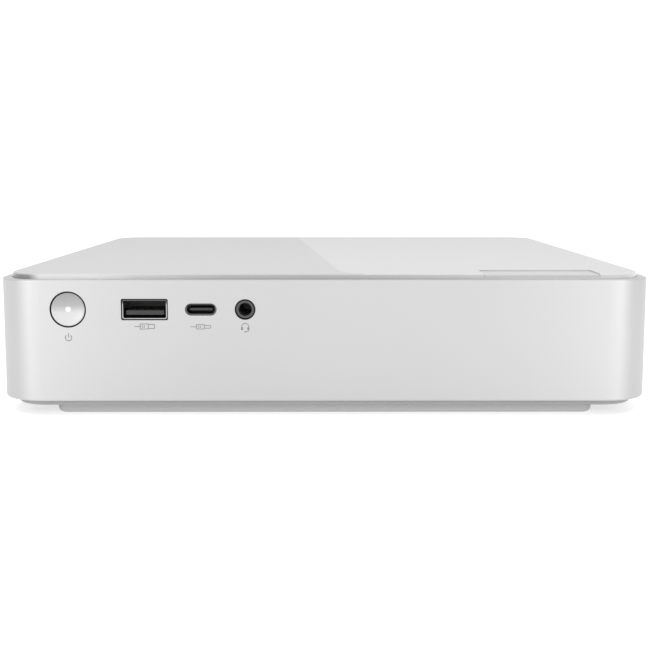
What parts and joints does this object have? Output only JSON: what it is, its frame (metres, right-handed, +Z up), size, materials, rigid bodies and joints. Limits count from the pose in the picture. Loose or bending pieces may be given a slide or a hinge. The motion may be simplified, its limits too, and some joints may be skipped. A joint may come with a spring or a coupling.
{
  "type": "mini desktop computer",
  "caption": "Low square desktop computer with a raised top panel, front power button and sockets, rear ports and mains inlet, and blowers that draw air through its base.",
  "frame": {"origin": "centre of the footprint on the surface the feet stand on", "axes": "+X towards the right seen from the front, front face looks along -Y, +Z up"},
  "size_m": [0.195, 0.191, 0.0421],
  "materials": {
    "band_silver": "fine satin silver coat",
    "panel_silver": "satin, fine texture on its left part and smooth on its right part",
    "badge_silver": "satin",
    "cover_grey": "matte",
    "foot_grey": "matte",
    "steel": "plain zinc-coated sheet",
    "screw_steel": "nickel-plated",
    "button_metal": "satin with a turned hollow face",
    "black_plastic": "matte",
    "clear_plastic": "translucent",
    "port_nickel": "nickel-plated sheet",
    "contact_gold": "gold-plated",
    "jack_grey": "satin",
    "board_green": "solder mask",
    "brass": "plain",
    "silicon": "satin",
    "copper": "plain copper",
    "fin_aluminium": "plain",
    "blower_black": "matte",
    "module_green": "solder mask",
    "cell_steel": "satin",
    "component_black": "matte",
    "lead_black": "matte",
    "supply_brown": "laminate and wound parts"
  },
  "bodies": {
    "case": {"antennas_and_leads": "lead_black", "audio_jack": "jack_grey", "board_components": "component_black", "board_standoffs": "brass", "bottom_cover": "cover_grey", "bottom_cover_screws": "screw_steel", "button_guide": "black_plastic", "card_sockets": "component_black", "coin_cell_and_holder": "cell_steel", "cold_plate": "copper", "display_socket_insert": "black_plastic", "display_socket_shell": "port_nickel", "ethernet_contacts": "contact_gold", "ethernet_jack": "port_nickel", "fin_stacks": "fin_aluminium", "front_foot": "foot_grey", "front_usb_a_insert": "black_plastic", "front_usb_a_shell": "port_nickel", "front_usb_c_insert": "black_plastic", "front_usb_c_shell": "port_nickel", "hdmi_insert": "black_plastic", "hdmi_shell": "port_nickel", "headers": "component_black", "heat_pipes": "copper", "indicator_lamp": "clear_plastic", "inner_screws": "screw_steel", "leads": "lead_black", "left_blower_housing": "blower_black", "mains_inlet": "black_plastic", "mains_inlet_blades": "port_nickel", "memory_modules": "module_green", "memory_sockets": "component_black", "mid_plate": "steel", "motherboard": "board_green", "processor": "silicon", "processor_backplate": "steel", "rear_foot": "foot_grey", "rear_plate": "steel", "rear_usb_a_inserts": "black_plastic", "rear_usb_a_shells": "port_nickel", "rear_usb_c_insert": "black_plastic", "rear_usb_c_shell": "port_nickel", "right_blower_housing": "blower_black", "side_frame": "band_silver", "storage_and_radio_cards": "module_green", "supply_board": "supply_brown", "supply_cable": "lead_black", "supply_case": "steel", "switch_body": "black_plastic", "top_cover": "panel_silver", "top_cover_badge": "badge_silver", "top_cover_screws": "screw_steel", "usb_a_contacts": "contact_gold"},
    "button": {"power_button": "button_metal", "button_carrier": "black_plastic", "button_light_pipe": "clear_plastic"},
    "plunger": {"switch_plunger": "black_plastic"},
    "left_rotor": {"left_blower_rotor": "blower_black"},
    "right_rotor": {"right_blower_rotor": "blower_black"}
  },
  "joints": [
    {"name": "power_button_press", "type": "slide", "parent": "case", "child": "button", "axis": [0, 1, 0], "range_m": [0, 0.0006], "stiffness_N_per_m": 2500},
    {"name": "switch_plunger_press", "type": "slide", "parent": "case", "child": "plunger", "axis": [0, 1, 0], "range_m": [0, 0.0008]},
    {"name": "left_rotor_spin", "type": "hinge", "parent": "case", "child": "left_rotor", "pos_m": [-0.0573, 0.0418, 0.012], "axis": [0, 0, 1], "continuous": true},
    {"name": "right_rotor_spin", "type": "hinge", "parent": "case", "child": "right_rotor", "pos_m": [0.0157, 0.0418, 0.012], "axis": [0, 0, 1], "continuous": true}
  ],
  "couplings": [
    {"joint": "switch_plunger_press", "follows": "power_button_press", "ratio": 1}
  ]
}
